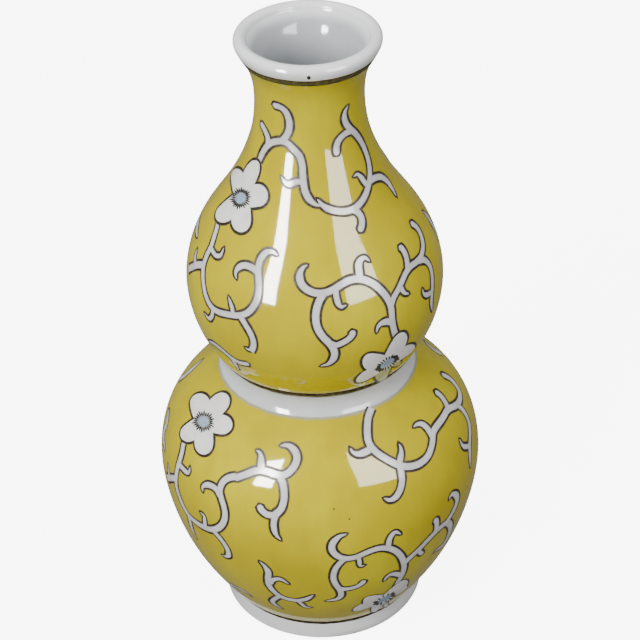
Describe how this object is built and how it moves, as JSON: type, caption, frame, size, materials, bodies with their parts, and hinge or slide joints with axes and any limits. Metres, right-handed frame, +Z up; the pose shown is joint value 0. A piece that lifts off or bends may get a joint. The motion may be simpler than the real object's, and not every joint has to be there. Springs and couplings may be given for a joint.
{
  "type": "double gourd vase",
  "caption": "Double gourd vase of glazed porcelain on a low foot ring: a small bulb and slim neck over a larger bulb, a white collar at the waist and a rolled lip.",
  "frame": {"origin": "centre of the foot ring's resting circle, on the table", "axes": "+Z up along the vase's axis of revolution, -Y towards the viewer of the picture"},
  "size_m": [0.1, 0.1, 0.2],
  "materials": {
    "porcelain": "glossy clear glaze over white porcelain",
    "yellow_enamel": "glossy yellow enamel"
  },
  "bodies": {
    "root": {"base_disc": "porcelain", "foot_ring": "porcelain", "lower_bowl": "porcelain", "lower_shoulder": "porcelain", "upper_bowl": "porcelain", "neck": "porcelain", "waist_collar": "porcelain", "mouth_rim": "porcelain", "lower_enamel": "yellow_enamel", "upper_enamel": "yellow_enamel"}
  },
  "joints": []
}
